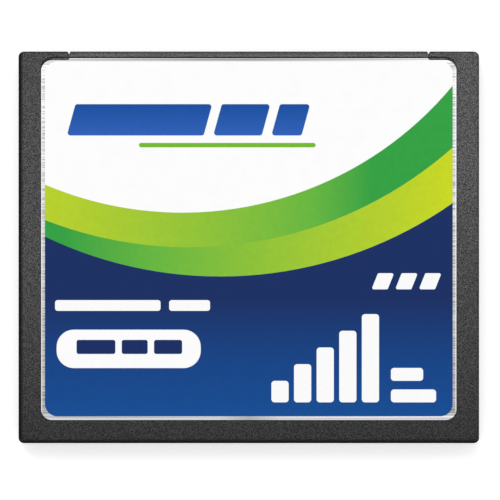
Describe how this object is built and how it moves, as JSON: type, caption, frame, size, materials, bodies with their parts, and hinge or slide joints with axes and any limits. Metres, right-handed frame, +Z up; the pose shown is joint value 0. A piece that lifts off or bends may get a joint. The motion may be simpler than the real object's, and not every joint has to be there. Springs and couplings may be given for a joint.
{
  "type": "compact flash card",
  "caption": "Flat removable memory card: a moulded frame with guide grooves, steel covers, a printed label and a pin socket along one edge.",
  "frame": {"origin": "centre of the card's underside", "axes": "+X across the card, +Y towards the socket edge, +Z up out of the label"},
  "size_m": [0.0428, 0.0364, 0.0033],
  "materials": {
    "graphite_plastic": "moulded graphite grey plastic with a fine speckled texture",
    "socket_plastic": "dark grey glass-filled moulding",
    "brushed_steel": "stainless sheet with fine brushing",
    "adhesive_tape": "translucent double-sided tape",
    "amber_film": "amber insulating film",
    "white_label": "white satin film sticker",
    "upper_green_ink": "satin ink, lime to green from left to right",
    "lower_green_ink": "satin ink, green to lime from left to right",
    "blue_ink": "satin ink, navy to mid blue downwards",
    "gold_contact": "gold-plated copper alloy",
    "board_green": "green solder mask over glass laminate",
    "chip_black": "black moulding compound",
    "tinned_lead": "matt tin plating",
    "crystal_can": "nickel-plated can",
    "capacitor_ceramic": "matt tan ceramic",
    "resistor_glaze": "black glazed ceramic"
  },
  "bodies": {
    "root": {"card_frame": "graphite_plastic", "top_cover": "brushed_steel", "bottom_cover": "brushed_steel", "top_cover_tape": "adhesive_tape", "bottom_cover_tape": "adhesive_tape", "top_insulator": "amber_film", "bottom_insulator": "amber_film", "front_label": "white_label", "upper_stripe_print": "upper_green_ink", "lower_stripe_print": "lower_green_ink", "blue_field_print": "blue_ink", "socket_housing": "socket_plastic", "upper_contacts": "gold_contact", "lower_contacts": "gold_contact", "circuit_board": "board_green", "left_flash_chip": "chip_black", "left_flash_leads": "tinned_lead", "right_flash_chip": "chip_black", "right_flash_leads": "tinned_lead", "controller_chip": "chip_black", "controller_leads": "tinned_lead", "crystal": "crystal_can", "regulator": "chip_black", "regulator_leads": "tinned_lead", "capacitor_bodies": "capacitor_ceramic", "capacitor_ends": "tinned_lead", "resistor_bodies": "resistor_glaze", "resistor_ends": "tinned_lead"}
  },
  "joints": []
}
